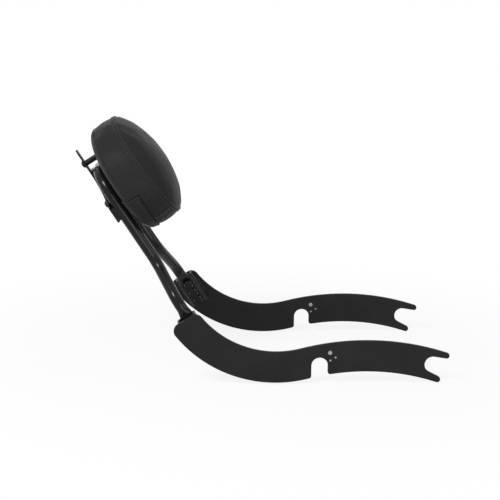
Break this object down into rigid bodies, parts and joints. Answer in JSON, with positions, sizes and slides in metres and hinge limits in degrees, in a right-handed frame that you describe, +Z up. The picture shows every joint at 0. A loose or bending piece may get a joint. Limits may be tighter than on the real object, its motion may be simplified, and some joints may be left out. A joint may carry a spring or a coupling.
{
  "type": "passenger backrest pad",
  "caption": "Detachable motorcycle passenger backrest: an oval padded cushion on a bent tube upright that stands between two curved side plates with docking notches.",
  "frame": {"origin": "on the axis of the rear docking bushes, midway between the two side plates", "axes": "+X across the motorcycle to its left side, along the docking bushes' axis; -Y to the front of the motorcycle; +Z up"},
  "size_m": [0.299, 0.5861, 0.3976],
  "materials": {
    "plate_paint": "satin black powder coat with fine texture",
    "tube_paint": "gloss black powder coat",
    "bracket_paint": "satin black powder coat",
    "black_fastener": "black oxide",
    "zinc": "bright zinc plating",
    "vinyl": "black grained upholstery vinyl",
    "foam": "open-cell foam",
    "board": "plywood"
  },
  "bodies": {
    "root": {"arch_saddle": "bracket_paint", "bolt_washers": "black_fastener", "dock_pins_left": "zinc", "dock_pins_right": "zinc", "dock_rivet_left": "zinc", "dock_rivet_right": "zinc", "foot_nuts_left": "zinc", "foot_nuts_right": "zinc", "foot_screws_left": "black_fastener", "foot_screws_right": "black_fastener", "foot_washers_left": "zinc", "foot_washers_right": "zinc", "leg_saddle_left": "bracket_paint", "leg_saddle_right": "bracket_paint", "lower_bolts": "black_fastener", "lower_nuts": "zinc", "lower_spacers": "black_fastener", "lower_washers": "zinc", "pad_back_panel": "vinyl", "pad_backing_board": "board", "pad_foam_core": "foam", "pad_front_panel": "vinyl", "pad_inserts": "zinc", "pad_lower_wrap": "vinyl", "pad_side_band": "vinyl", "rear_mount_plate": "bracket_paint", "side_plate_left": "plate_paint", "side_plate_right": "plate_paint", "socket_bracket_left": "bracket_paint", "socket_bracket_right": "bracket_paint", "upper_bolt": "black_fastener", "upper_spacer": "black_fastener", "upright_bar": "tube_paint", "weld_beads_left": "bracket_paint", "weld_beads_right": "bracket_paint"}
  },
  "joints": []
}
